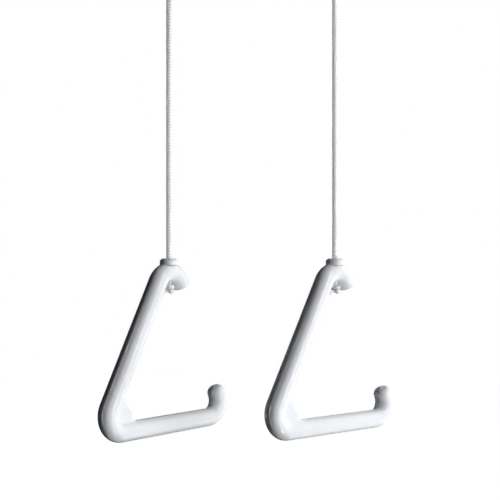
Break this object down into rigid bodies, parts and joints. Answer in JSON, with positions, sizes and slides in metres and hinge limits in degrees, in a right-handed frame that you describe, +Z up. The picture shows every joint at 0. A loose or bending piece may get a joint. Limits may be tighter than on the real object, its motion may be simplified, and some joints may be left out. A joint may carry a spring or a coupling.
{
  "type": "shoulder pulley",
  "caption": "Over-door shoulder pulley: open triangular grip handles on a braided rope that runs over grooved sheaves in a hooked head.",
  "frame": {"origin": "underside of the top pad, where the head rests on the top edge of a door, midway between the two ropes and in the middle of the door gap", "axes": "+Z up along the ropes, +X from the left handle to the right handle, +Y from the rope side through the door"},
  "size_m": [0.2484, 0.1275, 0.4464],
  "materials": {
    "handle_plastic": "gloss moulded, white",
    "rope_braid": "braided nylon, white",
    "powder_coat": "satin powder coat, light grey",
    "nylon": "turned nylon, grey",
    "plated_steel": "zinc plated",
    "bronze": "sintered bronze",
    "pad_rubber": "matt foam rubber"
  },
  "bodies": {
    "head": {"door_bracket": "powder_coat", "front_cheek": "powder_coat", "thrust_washer_front_left": "nylon", "thrust_washer_rear_left": "nylon", "axle_bolt_left": "plated_steel", "cap_nut_left": "plated_steel", "front_pad_left": "pad_rubber", "rope_drop_left": "rope_braid", "thrust_washer_front_right": "nylon", "thrust_washer_rear_right": "nylon", "axle_bolt_right": "plated_steel", "cap_nut_right": "plated_steel", "front_pad_right": "pad_rubber", "rope_drop_right": "rope_braid", "distance_sleeve_lower_left": "plated_steel", "rivet_lower_left": "plated_steel", "distance_sleeve_lower_right": "plated_steel", "rivet_lower_right": "plated_steel", "distance_sleeve_upper": "plated_steel", "rivet_upper": "plated_steel", "top_pad": "pad_rubber", "rear_pad": "pad_rubber", "rope_over_sheaves": "rope_braid"},
    "wheel_left": {"sheave_left": "nylon", "bush_left": "bronze"},
    "rope_end_left": {"stopper_knot_left": "rope_braid"},
    "grip_left": {"handle_left": "handle_plastic", "collar_left": "handle_plastic"},
    "wheel_right": {"sheave_right": "nylon", "bush_right": "bronze"},
    "rope_end_right": {"stopper_knot_right": "rope_braid"},
    "grip_right": {"handle_right": "handle_plastic", "collar_right": "handle_plastic"}
  },
  "joints": [
    {"name": "rope_travel_left", "type": "slide", "parent": "head", "child": "rope_end_left", "axis": [0, 0, 1], "range_m": [-0.2, 0.2], "deforming": ["rope_drop_left"]},
    {"name": "rope_travel_right", "type": "slide", "parent": "head", "child": "rope_end_right", "axis": [0, 0, 1], "range_m": [-0.2, 0.2], "deforming": ["rope_drop_right"]},
    {"name": "sheave_spin_left", "type": "hinge", "parent": "head", "child": "wheel_left", "pos_m": [-0.0505, -0.0379, -0.038], "axis": [0, 1, 0], "range_deg": [-575, 575]},
    {"name": "sheave_spin_right", "type": "hinge", "parent": "head", "child": "wheel_right", "pos_m": [0.0505, -0.0379, -0.038], "axis": [0, 1, 0], "range_deg": [-575, 575]},
    {"name": "handle_swivel_left", "type": "hinge", "parent": "rope_end_left", "child": "grip_left", "pos_m": [-0.0705, -0.0379, -0.294], "axis": [0, 0, 1], "continuous": true},
    {"name": "handle_swivel_right", "type": "hinge", "parent": "rope_end_right", "child": "grip_right", "pos_m": [0.0705, -0.0379, -0.294], "axis": [0, 0, 1], "continuous": true}
  ],
  "couplings": [
    {"joint": "rope_travel_right", "follows": "rope_travel_left", "ratio": -1},
    {"joint": "sheave_spin_left", "follows": "rope_travel_left", "rad_per_m": 50},
    {"joint": "sheave_spin_right", "follows": "rope_travel_left", "rad_per_m": 50}
  ]
}
